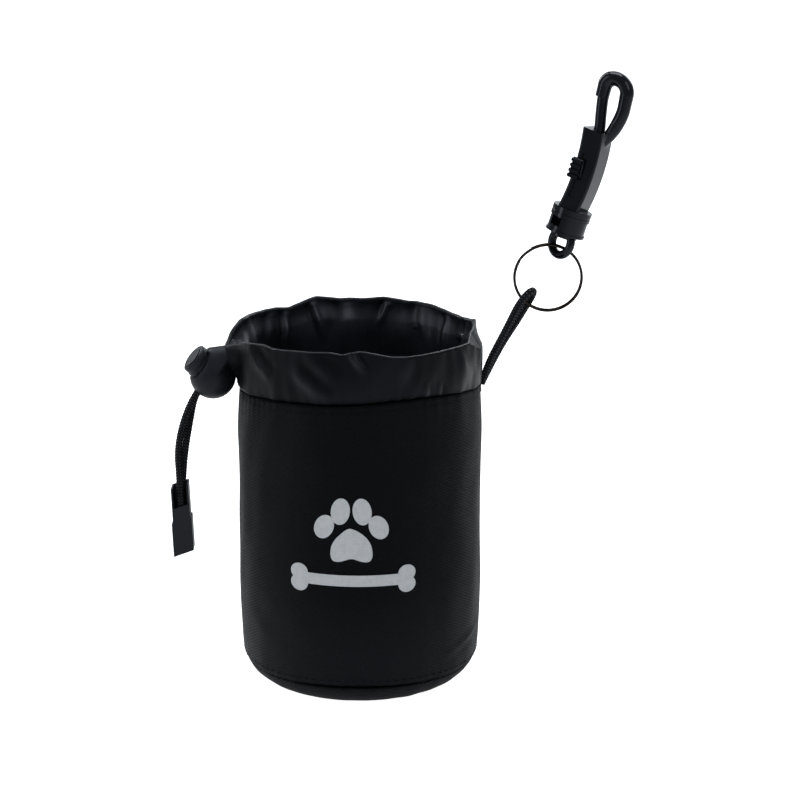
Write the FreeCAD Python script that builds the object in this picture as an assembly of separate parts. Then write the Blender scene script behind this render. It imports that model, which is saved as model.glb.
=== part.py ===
import FreeCAD, Part
import math
import os

# Drawstring treat pouch: a round fabric pouch with a gathered casing at its mouth, a ball cord lock on
# the left, and a swivel snap hook that hangs from a cord loop and a split ring on the right.
# Millimetres. Origin: centre of the base on the floor. +X: hook side. -Y: printed front. +Z: up.

Vec = FreeCAD.Vector
UP = Vec(0, 0, 1)
ALONG_Y = Vec(0, 1, 0)

# Pouch
POUCH_R = 44.5
FABRIC = 0.8
BASE_ROUNDING = 11.0
BASE_SEAM_Z = 9.0
COLLAR_SEAM_Z = 112.0
RIM_Z = 133.5
FOAM = 1.6
LINING = 0.5
LAYER_GAP = 0.1
BOARD_R = 33.0
BOARD = 1.2
COLLAR_BULGE = 0.8
COLLAR_LAYER = 0.5
COLLAR_INNER_R = 40.7

# Cords
CORD_D = 2.4
CORD_APART = 1.3
DRAWCORD_R = 43.0

# Compression springs: straight lengths in each turn
SPRING_STEPS = 16

# Cord lock: a truncated ball with a sprung plunger
LOCK_CENTRE = Vec(-54.4, 0, 114.7)
LOCK_R = 9.0
LOCK_FLAT = 6.4
LOCK_HOLE_DIR = Vec(-0.643, 0, -0.766).normalize()
LOCK_TURN_TO_FRONT = 10.4
LOCK_SLOT_WIDTH = 6.1
LOCK_SLOT_HEIGHT = 3.4
LOCK_SLOT_ROUNDING = 0.9
PLUNGER_R = 5.15
PLUNGER_TOP = 9.5
PLUNGER_CAP_R = 3.9
PLUNGER_CAP = 0.3
PLUNGER_TRAVEL = 2.4
PLUNGER_FLOOR = 1.5
PLUNGER_RIM = 0.8
LOCK_BORE_BOTTOM = -6.3
LOCK_SPRING_R = 3.4
LOCK_SPRING_WIRE_R = 0.2
LOCK_SPRING_TURNS = 3
RUNNING_FIT = 0.08
HORN_GAP = 0.3
HORN_R = 4.8
HORN_HOLE_R = 4.0
HORN_BEND_R = 4.0

# Cord ends
TAIL_ROUTE_FRONT = [
    (-48.42, -1.3, 121.82),
    (-54.4, -1.3, 114.7),
    (-60.9, -1.35, 106.9),
    (-64.8, -1.3, 95.9),
    (-67.2, -0.7, 85.0),
    (-67.0, -1.15, 76.0),
    (-66.9, -1.25, 67.0),
    (-66.4, -1.25, 58.4),
]
TAIL_ROUTE_BACK = [
    (-48.42, 1.3, 121.82),
    (-54.4, 1.3, 114.7),
    (-60.9, 1.35, 106.9),
    (-63.7, 1.3, 96.1),
    (-64.6, 0.7, 85.0),
    (-65.9, 1.15, 76.0),
    (-66.5, 1.25, 67.0),
    (-66.4, 1.25, 58.4),
]
END_CLIP_FOOT = Vec(-65.9, 0, 45.9)
END_CLIP_LEAN = -2.5
END_CLIP_SLANT = 0.31
END_CLIP_HEIGHT = 26.4
END_CLIP_STEP_Z = 13.0
END_CLIP_LID_Z = 18.5
END_CLIP_WIDE = 7.6
END_CLIP_NARROW = 6.6
END_CLIP_DEPTH = 6.8
END_CLIP_WALL = 0.8
END_CLIP_LID = 0.9
KNOT_R = 2.45
KNOT_LENGTH = 7.5
KNOT_ROUNDING = 1.0

# Hang loop and split ring
HANG_LOOP_ROUTE = [
    (46.6, -1.35, 110.4),
    (47.0, -1.5, 117.6),
    (50.2, -1.8, 125.6),
    (54.4, -2.1, 133.6),
    (58.6, -2.3, 141.3),
    (61.7, -2.6, 146.0),
    (63.7, 0.1, 146.3),
    (63.5, 2.5, 143.9),
    (60.3, 2.2, 139.6),
    (56.2, 1.9, 133.6),
    (51.0, 1.7, 126.4),
    (47.7, 1.5, 118.2),
    (46.8, 1.35, 110.2),
]
RING_CENTRE = Vec(68.9, 0, 151.0)
RING_OUTER_R = 12.7
RING_WIRE = 0.9
RING_COIL_GAP = 0.1
RING_END_ANGLE = 150.0
RING_RAMP_ANGLE = 30.0

# Snap hook: u runs up its length, v from the bolt to the spine
HOOK_ORIGIN = Vec(73.7, 0, 164.6)
HOOK_U = Vec(0.309, 0, 0.951).normalize()
HOOK_V_HINT = Vec(0.847, -0.454, -0.275)
EYE_MAJOR_R = 4.7
EYE_MINOR_R = 1.6
EYE_CENTRE_U = -0.4
EYE_TURN = -50.0
EYE_FLANGE_R = 4.9
EYE_FLANGE = (1.8, 2.9)
STEM_R = 2.0
STEM_HEAD_R = 3.4
STEM_HEAD = (5.9, 8.1)
BARREL_R = 6.9
BARREL_BEAD_R = 7.3
BARREL = (3.2, 12.8)
BARREL_FLOOR_TOP = 5.6
BARREL_ROOM_TOP = 8.9
BARREL_ROOM_R = 4.2
BARREL_WINDOW_WIDTH = 4.6
BARREL_WINDOW_TURN = 67.0
BARREL_BEADS = [(3.2, 4.1), (9.2, 10.5), (11.1, 12.8)]
HOUSING = (12.6, 42.6)
HOUSING_WIDTH = 8.1
HOUSING_DEPTH = 11.2
HOUSING_ROUNDING = 0.9
BOLT_V = -0.9
BOLT_R = 2.1
BOLT = (26.0, 56.0)
BOLT_TRAVEL = 8.0
BOLT_BORE_BOTTOM = 14.3
BOLT_SPRING_R = 1.6
BOLT_SPRING_WIRE_R = 0.25
BOLT_SPRING_TURNS = 9
TAB = (25.2, 32.8)
TAB_NECK_WIDTH = 2.0
TAB_V = (-4.3, -0.2)
TAB_CLEARANCE = 0.15
TAB_PLATE = 0.9
TAB_RISE = 2.3
TAB_RIDGES = 4
CROOK_R = 2.5
CROOK_ROUTE = [(-0.9, 56.3), (-0.9, 62.6), (8.2, 62.6), (8.2, 49.5), (1.6, 38.6)]
CROOK_RADII = [4.4, 4.6, 15.0]

# Print
PRINT_THICKNESS = 0.15
PRINT_LIFT = 0.05
PRINT_REACH = Vec(0, -POUCH_R - 2, 0)
PAW_CENTRE = (-2.5, 66.5)
PAW_TOES = [(9.8, 3.0, 3.4, 4.6, 24.0), (3.9, 9.0, 3.4, 5.0, 8.0)]
PAW_HEEL = [
    (0, 2.6), (3.6, 0.8), (7.4, -5.0), (6.6, -9.6), (2.6, -9.4),
    (0, -8.7), (-2.6, -9.4), (-6.6, -9.6), (-7.4, -5.0), (-3.6, 0.8),
]
BONE_CENTRE = (-2.0, 49.4)
BONE_LENGTH = 45.0
BONE_SHAFT_R = 2.1
BONE_KNOB_R = 3.1


def cylinder(radius, low, high):
    """An upright cylinder about Z, from one height to another."""
    return Part.makeCylinder(radius, high - low, Vec(0, 0, low))


def box(low, high):
    """A box from its lowest to its highest corner."""
    size = Vec(*high) - Vec(*low)
    return Part.makeBox(size.x, size.y, size.z, Vec(*low))


def ring_wall(outer, thickness, low, high):
    """A plain round wall about Z."""
    return cylinder(outer, low, high).cut(cylinder(outer - thickness, low - 1, high + 1))


def turned(edges):
    """A solid turned about Z from a closed outline in the XZ plane."""
    return Part.Face(Part.Wire(edges)).revolve(Vec(0, 0, 0), UP, 360)


def line(start, end):
    return Part.LineSegment(Vec(*start), Vec(*end)).toShape()


def arc(start, middle, end):
    return Part.Arc(Vec(*start), Vec(*middle), Vec(*end)).toShape()


def prism(points, push):
    """A straight prism on a flat outline of points."""
    corners = [Vec(*point) for point in points]
    return Part.Face(Part.makePolygon(corners + corners[:1])).extrude(push)


def rounded_path(points, radii):
    """Straight runs joined by tangent arcs, one radius for each inner point."""
    knots = [Vec(*point) for point in points]
    edges = []
    reached = knots[0]
    for before, corner, after, radius in zip(knots, knots[1:], knots[2:], radii):
        back = (before - corner).normalize()
        onward = (after - corner).normalize()
        half = back.getAngle(onward) / 2
        reach = radius / math.tan(half)
        inside = (back + onward).normalize()
        arc_start = corner + back * reach
        arc_end = corner + onward * reach
        arc_middle = corner + inside * (radius / math.sin(half) - radius)
        if reached.distanceToPoint(arc_start) > 1e-6:
            edges.append(Part.LineSegment(reached, arc_start).toShape())
        edges.append(Part.Arc(arc_start, arc_middle, arc_end).toShape())
        reached = arc_end
    edges.append(Part.LineSegment(reached, knots[-1]).toShape())
    return Part.Wire(edges)


def cord_radii(points):
    """The largest arc that each corner's two runs allow."""
    knots = [Vec(*point) for point in points]
    radii = []
    for before, corner, after in zip(knots, knots[1:], knots[2:]):
        half_turn = (corner - before).getAngle(after - corner) / 2
        shorter = min(before.distanceToPoint(corner), corner.distanceToPoint(after))
        radii.append(0.45 * shorter / math.tan(half_turn))
    return radii


def tube(path, radius):
    """A round rod along a path."""
    start = path.OrderedEdges[0]
    first = start.valueAt(start.FirstParameter)
    heading = start.tangentAt(start.FirstParameter)
    section = Part.Wire(Part.Circle(first, heading, radius).toShape())
    return path.makePipeShell([section], True, False)


def cord_tube(name, points):
    """A free cord's tube, with its radii and volume printed."""
    radii = cord_radii(points)
    path = rounded_path(points, radii)
    solid = tube(path, CORD_D / 2)
    expected = math.pi * (CORD_D / 2) ** 2 * path.Length
    print(name, "length", round(path.Length, 1), "radii", [round(radius, 1) for radius in radii])
    print(name, "volume share", round(solid.Volume / expected, 4))
    return solid


def spring(radius, wire_r, low, high, turns):
    """A compression spring about Z of six-sided wire, its wire inside the given span."""
    lowest = low + wire_r
    climb = high - wire_r - lowest
    sections = []
    for step in range(turns * SPRING_STEPS + 1):
        around = 2 * math.pi * step / SPRING_STEPS
        outward = Vec(math.cos(around), math.sin(around), 0)
        centre = outward * radius + UP * (lowest + climb * step / (turns * SPRING_STEPS))
        corners = []
        for side in range(6):
            angle = math.pi * side / 3
            corners.append(centre + (outward * math.cos(angle) + UP * math.sin(angle)) * wire_r)
        sections.append(Part.makePolygon(corners + corners[:1]))
    return Part.makeLoft(sections, True, True)


def moved_by(shape, placement):
    """A copy of a shape, moved from where it is."""
    moved = shape.copy()
    moved.Placement = placement.multiply(shape.Placement)
    return moved


def place(shape, origin, x_axis, z_axis):
    """Move a shape from its own axes to an origin and two directions."""
    y_axis = z_axis.cross(x_axis)
    turn = FreeCAD.Rotation(x_axis, y_axis, z_axis, "ZXY")
    return moved_by(shape, FreeCAD.Placement(origin, turn))


# Pouch

def outer_wall():
    return ring_wall(POUCH_R, FABRIC, BASE_SEAM_Z, COLLAR_SEAM_Z - LAYER_GAP)


def cup_edges(outer, rounding, thickness, top):
    """The outline of a shallow cup with a rounded lower edge, standing at z = 0."""
    swing = math.asin((rounding - top) / rounding)
    half = math.radians(45) + swing / 2
    corner = (outer - rounding, rounding)
    inner_r = rounding - thickness

    def on_arc(radius, angle):
        return (corner[0] + radius * math.cos(angle), 0, corner[1] - radius * math.sin(angle))

    right = math.radians(90)
    return [
        line((0, 0, 0), on_arc(rounding, right)),
        arc(on_arc(rounding, right), on_arc(rounding, half), on_arc(rounding, swing)),
        line(on_arc(rounding, swing), on_arc(inner_r, swing)),
        arc(on_arc(inner_r, swing), on_arc(inner_r, half), on_arc(inner_r, right)),
        line(on_arc(inner_r, right), (0, 0, thickness)),
        line((0, 0, thickness), (0, 0, 0)),
    ]


def base_panel():
    return turned(cup_edges(POUCH_R, BASE_ROUNDING, FABRIC, BASE_SEAM_Z - 2 * LAYER_GAP))


def base_board():
    return cylinder(BOARD_R, FABRIC + LAYER_GAP, FABRIC + LAYER_GAP + BOARD)


def wall_foam():
    outer = POUCH_R - FABRIC - LAYER_GAP
    return ring_wall(outer, FOAM, BASE_SEAM_Z + 2, COLLAR_SEAM_Z - 1)


def lining_outer_r():
    return POUCH_R - FABRIC - FOAM - 2 * LAYER_GAP


def lining_wall():
    return ring_wall(lining_outer_r(), LINING, BASE_SEAM_Z + LAYER_GAP, COLLAR_SEAM_Z - LAYER_GAP)


def lining_base():
    floor_z = FABRIC + BOARD + 2 * LAYER_GAP
    rounding = BASE_ROUNDING - 3
    cup = turned(cup_edges(lining_outer_r(), rounding, LINING, BASE_SEAM_Z - floor_z))
    cup.translate(Vec(0, 0, floor_z))
    return cup


def casing_ring(inner, outer, low, high, corner):
    """A ring of rounded rectangular section about Z."""
    edges = [
        line((inner, 0, low), (outer, 0, low)),
        line((outer, 0, low), (outer, 0, high - corner)),
        arc((outer, 0, high - corner), ((inner + outer) / 2, 0, high), (inner, 0, high - corner)),
        line((inner, 0, high - corner), (inner, 0, low)),
    ]
    return turned(edges)


def horn_path():
    """The line of the casing's mouth: level out of the wall, then down into the cord lock."""
    end = LOCK_CENTRE - LOCK_HOLE_DIR * (LOCK_R + HORN_GAP)
    turn = math.acos(-LOCK_HOLE_DIR.x)
    half = turn / 2
    centre = end + Vec(math.sin(turn), 0, -math.cos(turn)) * HORN_BEND_R
    bend = Vec(centre.x, 0, centre.z + HORN_BEND_R)
    middle = centre + Vec(-math.sin(half), 0, math.cos(half)) * HORN_BEND_R
    return bend, middle, end


def horn_rod(radius, inner_x):
    bend, middle, end = horn_path()
    path = Part.Wire([line((inner_x, 0, bend.z), bend), Part.Arc(bend, middle, end).toShape()])
    return tube(path, radius)


def collar():
    outer = POUCH_R + COLLAR_BULGE
    half_top = (outer - COLLAR_INNER_R) / 2
    shell = casing_ring(COLLAR_INNER_R, outer, COLLAR_SEAM_Z, RIM_Z, half_top)
    shell = shell.fuse(horn_rod(HORN_R, -outer + COLLAR_LAYER / 2))
    room = casing_ring(
        COLLAR_INNER_R + COLLAR_LAYER,
        outer - COLLAR_LAYER,
        COLLAR_SEAM_Z + COLLAR_LAYER,
        RIM_Z - COLLAR_LAYER,
        half_top - COLLAR_LAYER,
    )
    room = room.fuse(horn_rod(HORN_HOLE_R, -DRAWCORD_R))
    return shell.cut(room)


def drawcord():
    """Round the casing, out through its mouth at both ends, and down to the cord lock."""
    bend, middle, end = horn_path()
    fold = CORD_D
    fold_y = CORD_APART + fold
    fold_x = -math.sqrt((DRAWCORD_R + fold) ** 2 - fold_y ** 2)
    share = DRAWCORD_R / (DRAWCORD_R + fold)
    fold_half = math.atan2(fold_y, -fold_x) / 2 + math.radians(45)
    lift = Vec(0, 0, bend.z)

    def side(sign):
        leave = Vec(fold_x * share, sign * fold_y * share, 0) + lift
        turn = Vec(
            fold_x + fold * math.sin(math.radians(90) - fold_half),
            sign * (fold_y - fold * math.cos(math.radians(90) - fold_half)),
            0,
        ) + lift
        straight = Vec(fold_x, sign * CORD_APART, 0) + lift
        shift = Vec(0, sign * CORD_APART, 0)
        return leave, turn, straight, shift

    edges = []
    leave, turn, straight, shift = side(-1)
    edges.append(Part.Arc(end + shift, middle + shift, bend + shift).toShape())
    edges.append(Part.LineSegment(bend + shift, straight).toShape())
    edges.append(Part.Arc(straight, turn, leave).toShape())
    far_leave, far_turn, far_straight, far_shift = side(1)
    edges.append(Part.Arc(leave, Vec(DRAWCORD_R, 0, 0) + lift, far_leave).toShape())
    edges.append(Part.Arc(far_leave, far_turn, far_straight).toShape())
    edges.append(Part.LineSegment(far_straight, bend + far_shift).toShape())
    edges.append(Part.Arc(bend + far_shift, middle + far_shift, end + far_shift).toShape())
    return tube(Part.Wire(edges), CORD_D / 2)


def print_skin():
    """The thin film that the print lies in, just off the pouch's wall."""
    outer = POUCH_R + PRINT_LIFT + PRINT_THICKNESS
    return ring_wall(outer, PRINT_THICKNESS, BASE_SEAM_Z, COLLAR_SEAM_Z)


def on_front(face):
    """A flat outline in the XZ plane, laid as thin film on the pouch's round front."""
    return face.extrude(PRINT_REACH).common(print_skin()).Solids[0]


def flat_ellipse(x, z, half_width, half_height, turn):
    """An upright ellipse in the XZ plane, turned clockwise as seen from the front."""
    major = Vec(math.sin(math.radians(turn)), 0, math.cos(math.radians(turn)))
    curve = Part.Ellipse(
        Vec(x, 0, z) + major * half_height,
        Vec(x, 0, z) + Vec(major.z, 0, -major.x) * half_width,
        Vec(x, 0, z),
    )
    return Part.Face(Part.Wire(curve.toShape()))


def paw_print():
    x, z = PAW_CENTRE
    pads = []
    for across, above, half_width, half_height, turn in PAW_TOES:
        pads.append(flat_ellipse(x + across, z + above, half_width, half_height, -turn))
        pads.append(flat_ellipse(x - across, z + above, half_width, half_height, turn))
    outline = Part.BSplineCurve()
    outline.interpolate([Vec(x + across, 0, z + above) for across, above in PAW_HEEL], PeriodicFlag=True)
    pads.append(Part.Face(Part.Wire(outline.toShape())))
    return Part.makeCompound([on_front(pad) for pad in pads])


def bone_print():
    x, z = BONE_CENTRE
    reach = BONE_LENGTH / 2 - BONE_KNOB_R
    shape = prism(
        [(x - reach, 0, z - BONE_SHAFT_R), (x + reach, 0, z - BONE_SHAFT_R),
         (x + reach, 0, z + BONE_SHAFT_R), (x - reach, 0, z + BONE_SHAFT_R)],
        PRINT_REACH,
    )
    for across in (-reach, reach):
        for above in (-BONE_SHAFT_R, BONE_SHAFT_R):
            centre = Vec(x + across, 0, z + above)
            shape = shape.fuse(Part.makeCylinder(BONE_KNOB_R, PRINT_REACH.Length, centre, PRINT_REACH))
    return shape.removeSplitter().common(print_skin()).Solids[0]


# Cord lock, in its own axes: Z along the plunger, X along the cord hole

def lock_placed(shape):
    turn = math.radians(LOCK_TURN_TO_FRONT)
    upright = Vec(LOCK_HOLE_DIR.z, 0, -LOCK_HOLE_DIR.x)
    button = upright * math.cos(turn) - ALONG_Y * math.sin(turn)
    return place(shape, LOCK_CENTRE, LOCK_HOLE_DIR, button)


def slot_tool(low, high):
    """A slot with rounded corners, right through along X."""
    side = LOCK_SLOT_WIDTH / 2
    block = box((-LOCK_R - 1, -side, low), (LOCK_R + 1, side, high))
    corners = [edge for edge in block.Edges if edge.Length > 2 * LOCK_R]
    return block.makeFillet(LOCK_SLOT_ROUNDING, corners)


def lock_body():
    ball = Part.makeSphere(LOCK_R)
    ball = ball.cut(cylinder(LOCK_R + 1, LOCK_FLAT, LOCK_R + 1))
    ball = ball.cut(cylinder(PLUNGER_R + RUNNING_FIT, LOCK_BORE_BOTTOM, LOCK_R))
    half = LOCK_SLOT_HEIGHT / 2
    return lock_placed(ball.cut(slot_tool(-half, half)))


def lock_plunger():
    half = LOCK_SLOT_HEIGHT / 2
    rod = cylinder(PLUNGER_R, -half - PLUNGER_FLOOR, PLUNGER_TOP)
    rim = [edge for edge in rod.Edges if abs(edge.CenterOfMass.z - PLUNGER_TOP) < 1e-6]
    rod = rod.makeFillet(PLUNGER_RIM, rim)
    rod = rod.fuse(cylinder(PLUNGER_CAP_R, 0, PLUNGER_TOP + PLUNGER_CAP))
    return lock_placed(rod.cut(slot_tool(-half, half + PLUNGER_TRAVEL)))


def lock_spring():
    top = -LOCK_SLOT_HEIGHT / 2 - PLUNGER_FLOOR
    coil = spring(LOCK_SPRING_R, LOCK_SPRING_WIRE_R, LOCK_BORE_BOTTOM, top, LOCK_SPRING_TURNS)
    return lock_placed(coil)


# Cord-end clip, in its own axes: Z up its length, X across, -Y to the lid

def clip_placed(shape):
    turn = FreeCAD.Rotation(ALONG_Y, END_CLIP_LEAN)
    return moved_by(shape, FreeCAD.Placement(END_CLIP_FOOT, turn))


def slanted_block(width, low, high, front, back):
    """A block whose ends slope up to the right."""
    side = width / 2
    rise = side * END_CLIP_SLANT
    outline = [
        (-side, front, low - rise), (side, front, low + rise),
        (side, front, high + rise), (-side, front, high - rise),
    ]
    return prism(outline, Vec(0, back - front, 0))


def cord_end_base():
    back = END_CLIP_DEPTH / 2
    inside = back - END_CLIP_WALL
    lid_back = END_CLIP_LID + LAYER_GAP - back
    body = slanted_block(END_CLIP_WIDE, 0, END_CLIP_STEP_Z, lid_back, back)
    body = body.fuse(slanted_block(END_CLIP_NARROW, 0, END_CLIP_HEIGHT, lid_back, back))
    ears_z = END_CLIP_LID_Z + LAYER_GAP
    body = body.fuse(slanted_block(END_CLIP_NARROW, ears_z, END_CLIP_HEIGHT, -back, back))
    pocket_width = END_CLIP_WIDE - 2 * END_CLIP_WALL
    pocket_top = END_CLIP_STEP_Z - END_CLIP_WALL / 2
    pocket = slanted_block(pocket_width, 2 * END_CLIP_WALL, pocket_top, -back, inside)
    neck_width = END_CLIP_NARROW - 2 * END_CLIP_WALL
    above = END_CLIP_HEIGHT + END_CLIP_WIDE
    neck = slanted_block(neck_width, END_CLIP_WIDE / 2, above, -back, inside)
    return clip_placed(body.cut(pocket).cut(neck).removeSplitter())


def cord_end_lid():
    front = -END_CLIP_DEPTH / 2
    lid = slanted_block(END_CLIP_WIDE, 0, END_CLIP_STEP_Z, front, front + END_CLIP_LID)
    neck = slanted_block(END_CLIP_NARROW, 0, END_CLIP_LID_Z, front, front + END_CLIP_LID)
    return clip_placed(lid.fuse(neck).removeSplitter())


def tail_knot():
    """Both cord ends melted and knotted into one stop inside the clip."""
    top = Vec(*TAIL_ROUTE_FRONT[-1])
    heading = top - Vec(*TAIL_ROUTE_FRONT[-2])
    stop = cylinder(KNOT_R, -KNOT_LENGTH, 0)
    lower_rim = [edge for edge in stop.Edges if edge.CenterOfMass.z < 0.1 - KNOT_LENGTH]
    stop = stop.makeFillet(KNOT_ROUNDING, lower_rim)
    upward = Vec(-heading.x, 0, -heading.z)
    stop.Placement = FreeCAD.Placement(Vec(top.x, 0, top.z), FreeCAD.Rotation(UP, upward))
    return stop


# Split ring

def ring_section(angle, offset):
    """The wire's square section at an angle round the ring, offset along the ring's axis."""
    turn = math.radians(angle)
    half = RING_WIRE / 2
    corners = []
    for radius, across in ((0, -half), (RING_WIRE, -half), (RING_WIRE, half), (0, half)):
        reach = RING_OUTER_R - radius
        corners.append(Vec(reach * math.cos(turn), across + offset, reach * math.sin(turn)) + RING_CENTRE)
    return Part.makePolygon(corners + corners[:1])


def split_ring():
    """One wire of nearly two turns: a front coil, a short ramp and a back coil."""
    pitch = (RING_WIRE + RING_COIL_GAP) / 2
    full = 360 - RING_RAMP_ANGLE
    front = Part.Face(ring_section(RING_END_ANGLE, -pitch))
    front = front.revolve(RING_CENTRE, ALONG_Y * -1, full)
    back = Part.Face(ring_section(RING_END_ANGLE, pitch))
    back = back.revolve(RING_CENTRE, ALONG_Y * -1, full)
    steps = 6
    sections = []
    for step in range(steps + 1):
        share = step / steps
        eased = share * share * (3 - 2 * share)
        angle = RING_END_ANGLE - RING_RAMP_ANGLE * (1 - share)
        sections.append(ring_section(angle, pitch * (2 * eased - 1)))
    ramp = Part.makeLoft(sections, True, True)
    return front.fuse(ramp).fuse(back)


# Snap hook, in its own axes: Z up its length, X from the bolt to the spine, -Y to the thumb tab

def hook_placed(shape):
    across = (HOOK_V_HINT - HOOK_U * HOOK_V_HINT.dot(HOOK_U)).normalize()
    return place(shape, HOOK_ORIGIN, across, HOOK_U)


def swivel_eye():
    eye = Part.makeTorus(EYE_MAJOR_R, EYE_MINOR_R, Vec(0, 0, EYE_CENTRE_U), ALONG_Y)
    eye = eye.cut(cylinder(2 * EYE_MAJOR_R, EYE_FLANGE[1], 2 * EYE_MAJOR_R))
    eye = eye.fuse(cylinder(EYE_FLANGE_R, *EYE_FLANGE))
    eye = eye.fuse(cylinder(STEM_R, EYE_FLANGE[0], STEM_HEAD[1]))
    eye = eye.fuse(cylinder(STEM_HEAD_R, *STEM_HEAD))
    turn = FreeCAD.Rotation(UP, HOOK_U).multiply(FreeCAD.Rotation(UP, EYE_TURN))
    return moved_by(eye, FreeCAD.Placement(HOOK_ORIGIN, turn))


def barrel():
    low, high = BARREL
    body = cylinder(BARREL_R, low, high)
    for bead in BARREL_BEADS:
        body = body.fuse(cylinder(BARREL_BEAD_R, *bead))
    body = body.cut(cylinder(STEM_R + RUNNING_FIT, low - 1, BARREL_FLOOR_TOP))
    body = body.cut(cylinder(BARREL_ROOM_R, BARREL_FLOOR_TOP, BARREL_ROOM_TOP))
    half = BARREL_WINDOW_WIDTH / 2
    reach = BARREL_BEAD_R + 1
    window = box((-reach, -half, BARREL_FLOOR_TOP), (reach, half, BARREL_ROOM_TOP))
    window.rotate(Vec(0, 0, 0), UP, BARREL_WINDOW_TURN)
    return body.cut(window)


def housing_block():
    half_v = HOUSING_WIDTH / 2
    half_w = HOUSING_DEPTH / 2
    block = box((-half_v, -half_w, HOUSING[0]), (half_v, half_w, HOUSING[1]))
    upright = [edge for edge in block.Edges if edge.Length > HOUSING_DEPTH + 1]
    return block.makeFillet(HOUSING_ROUNDING, upright)


def crook():
    path = rounded_path([(v, 0, u) for v, u in CROOK_ROUTE], CROOK_RADII)
    return tube(path, CROOK_R)


def hook_housing():
    body = housing_block().fuse(crook()).fuse(barrel())
    bore = cylinder(BOLT_R + RUNNING_FIT, BOLT_BORE_BOTTOM, BOLT[1])
    bore.translate(Vec(BOLT_V, 0, 0))
    body = body.cut(bore)
    side = TAB_NECK_WIDTH / 2 + RUNNING_FIT
    slot_low = TAB[0] - BOLT_TRAVEL
    slot = box((BOLT_V - side, -HOUSING_DEPTH, slot_low), (BOLT_V + side, 0, TAB[1] + 1.0))
    return hook_placed(body.cut(slot))


def snap_bolt():
    """The sliding bolt, with its ridged thumb tab on a neck through the housing's slot."""
    rod = cylinder(BOLT_R, *BOLT)
    rod.translate(Vec(BOLT_V, 0, 0))
    half = TAB_NECK_WIDTH / 2
    face = -HOUSING_DEPTH / 2 - TAB_CLEARANCE
    pitch = (TAB[1] - TAB[0]) / TAB_RIDGES
    neck = box((BOLT_V - half, face - TAB_PLATE / 2, BOLT[0]), (BOLT_V + half, 0, TAB[1] - pitch / 4))
    plate = box((TAB_V[0], face - TAB_PLATE, TAB[0]), (TAB_V[1], face, TAB[1]))
    body = rod.fuse(neck).fuse(plate)
    for number in range(TAB_RIDGES):
        low = TAB[0] + pitch * (number + 0.2)
        ridge = box((TAB_V[0], face - TAB_RISE, low), (TAB_V[1], face, low + 0.6 * pitch))
        body = body.fuse(ridge)
    return hook_placed(body.removeSplitter())


def bolt_spring():
    coil = spring(BOLT_SPRING_R, BOLT_SPRING_WIRE_R, BOLT_BORE_BOTTOM, BOLT[0], BOLT_SPRING_TURNS)
    coil.translate(Vec(BOLT_V, 0, 0))
    return hook_placed(coil)


PARTS = {
    "outer_wall": outer_wall,
    "base_panel": base_panel,
    "base_board": base_board,
    "wall_foam": wall_foam,
    "lining_wall": lining_wall,
    "lining_base": lining_base,
    "collar": collar,
    "drawcord": drawcord,
    "paw_print": paw_print,
    "bone_print": bone_print,
    "lock_body": lock_body,
    "lock_plunger": lock_plunger,
    "lock_spring": lock_spring,
    "tail_front": lambda: cord_tube("tail_front", TAIL_ROUTE_FRONT),
    "tail_back": lambda: cord_tube("tail_back", TAIL_ROUTE_BACK),
    "tail_knot": tail_knot,
    "cord_end_base": cord_end_base,
    "cord_end_lid": cord_end_lid,
    "hang_loop": lambda: cord_tube("hang_loop", HANG_LOOP_ROUTE),
    "split_ring": split_ring,
    "swivel_eye": swivel_eye,
    "hook_housing": hook_housing,
    "snap_bolt": snap_bolt,
    "bolt_spring": bolt_spring,
}

os.makedirs("parts", exist_ok=True)
for name, make in PARTS.items():
    shape = make()
    shape.exportStep("parts/" + name + ".step")
    print(name, "solids", len(shape.Solids), "valid", shape.isValid(), "volume", round(shape.Volume, 1))
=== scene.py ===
import math

import bmesh
import bpy
import numpy as np
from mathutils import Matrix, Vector


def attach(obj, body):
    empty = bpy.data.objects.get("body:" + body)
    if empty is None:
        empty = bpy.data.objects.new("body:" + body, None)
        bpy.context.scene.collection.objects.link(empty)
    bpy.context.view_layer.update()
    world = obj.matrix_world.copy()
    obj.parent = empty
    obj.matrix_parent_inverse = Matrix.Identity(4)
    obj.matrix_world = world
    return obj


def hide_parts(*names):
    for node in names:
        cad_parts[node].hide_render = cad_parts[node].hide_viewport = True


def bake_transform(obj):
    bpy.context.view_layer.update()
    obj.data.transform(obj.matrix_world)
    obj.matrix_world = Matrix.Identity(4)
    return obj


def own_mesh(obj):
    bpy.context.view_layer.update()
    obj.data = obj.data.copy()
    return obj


# Looks of the drawstring treat pouch. Metres, in the row frame: origin at the centre of the base on the
# floor, +X to the snap hook, -Y to the printed front, +Z up. Angles round the pouch are in degrees from +X,
# so the printed front is at -90 and the cord lock at 180.

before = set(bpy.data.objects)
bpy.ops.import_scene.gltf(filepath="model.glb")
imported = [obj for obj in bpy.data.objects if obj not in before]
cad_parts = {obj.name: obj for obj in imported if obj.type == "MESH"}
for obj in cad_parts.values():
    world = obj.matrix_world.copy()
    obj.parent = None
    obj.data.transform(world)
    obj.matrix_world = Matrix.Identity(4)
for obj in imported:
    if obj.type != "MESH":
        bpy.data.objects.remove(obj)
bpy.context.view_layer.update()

MM = 0.001

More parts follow.
